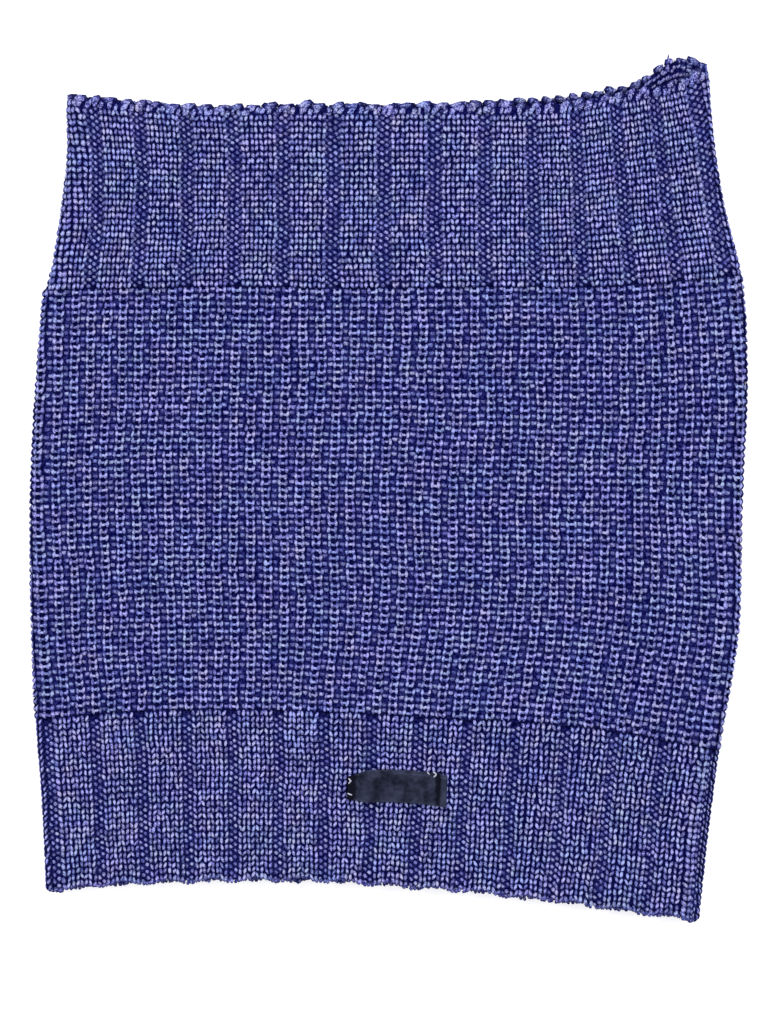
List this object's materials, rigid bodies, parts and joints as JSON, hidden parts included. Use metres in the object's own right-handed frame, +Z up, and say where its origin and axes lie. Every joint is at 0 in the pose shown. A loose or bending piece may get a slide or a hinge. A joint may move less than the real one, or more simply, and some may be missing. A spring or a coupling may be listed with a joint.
{
  "type": "knitted snood",
  "caption": "Flat-lying tube snood in chunky knit, with wide-rib bands at both ends, a fine-rib middle and a small plain woven label on the lower band.",
  "frame": {"origin": "on the surface that the snood lies on, under the middle of its box", "axes": "+X to the wearer's right as it lies, across the tube; +Y along the tube towards the looped edge; +Z up, out of the front layer"},
  "size_m": [0.2638, 0.3134, 0.0163],
  "materials": {
    "rib_yarn": "soft blue-violet wool yarn, wide rib",
    "body_yarn": "soft blue-violet wool yarn, fine rib",
    "label_satin": "dark woven satin label cloth"
  },
  "bodies": {
    "root": {"lower_rib_band": "rib_yarn", "knit_body": "body_yarn", "upper_rib_band": "rib_yarn", "woven_label": "label_satin"}
  },
  "joints": []
}
